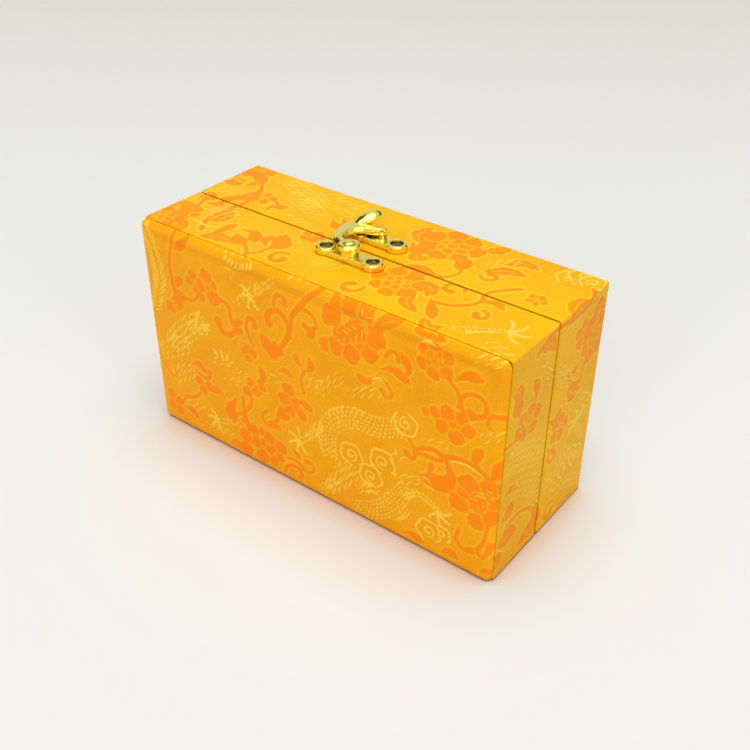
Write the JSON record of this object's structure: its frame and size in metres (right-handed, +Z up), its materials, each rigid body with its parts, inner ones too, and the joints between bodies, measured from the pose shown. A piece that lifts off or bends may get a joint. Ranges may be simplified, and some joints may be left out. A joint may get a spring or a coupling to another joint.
{
  "type": "brocade box",
  "caption": "Clamshell keepsake box covered in golden dragon-and-lotus brocade, with a padded lid panel, a cloth hinge and a cast brass swing-hook clasp, standing on its hinge side.",
  "frame": {"origin": "bottom centre of the box's bounds, on the hinge side that it stands on", "axes": "+X along the hinge, -Y towards the lid's padded panel, +Z up from the hinge side to the clasp side"},
  "size_m": [0.15, 0.061, 0.0926],
  "materials": {
    "brocade": "woven silk with orange and pale gold figures",
    "satin": "plain satin",
    "wadding": "soft wadding",
    "greyboard": "bare board",
    "cast_brass": "polished casting",
    "screw_steel": "dark plated"
  },
  "bodies": {
    "base": {"base_back_board": "greyboard", "base_clasp_wall": "greyboard", "base_hinge_wall": "greyboard", "base_left_wall": "greyboard", "base_right_wall": "greyboard", "base_wrap": "brocade", "base_spine_cloth": "brocade", "base_lining": "satin", "base_cushion": "satin", "catch_plate": "cast_brass", "catch_plate_screws": "screw_steel"},
    "lid": {"panel_cover": "brocade", "panel_foam": "wadding", "panel_board": "greyboard", "lid_top_board": "greyboard", "lid_clasp_wall": "greyboard", "lid_hinge_wall": "greyboard", "lid_left_wall": "greyboard", "lid_right_wall": "greyboard", "lid_wrap": "brocade", "lid_spine_cloth": "brocade", "lid_lining": "satin", "lid_cushion": "satin", "hook_plate": "cast_brass", "hook_plate_screws": "screw_steel", "hook_rivet": "cast_brass"},
    "hook": {"hook": "cast_brass"}
  },
  "joints": [
    {"name": "lid_hinge", "type": "hinge", "parent": "base", "child": "lid", "pos_m": [0, -0.00085, 0], "axis": [1, 0, 0], "range_deg": [0, 175]},
    {"name": "hook_swing", "type": "hinge", "parent": "lid", "child": "hook", "pos_m": [0.0017, -0.00875, 0.09], "axis": [0, 0, 1], "range_deg": [0, 100]}
  ]
}
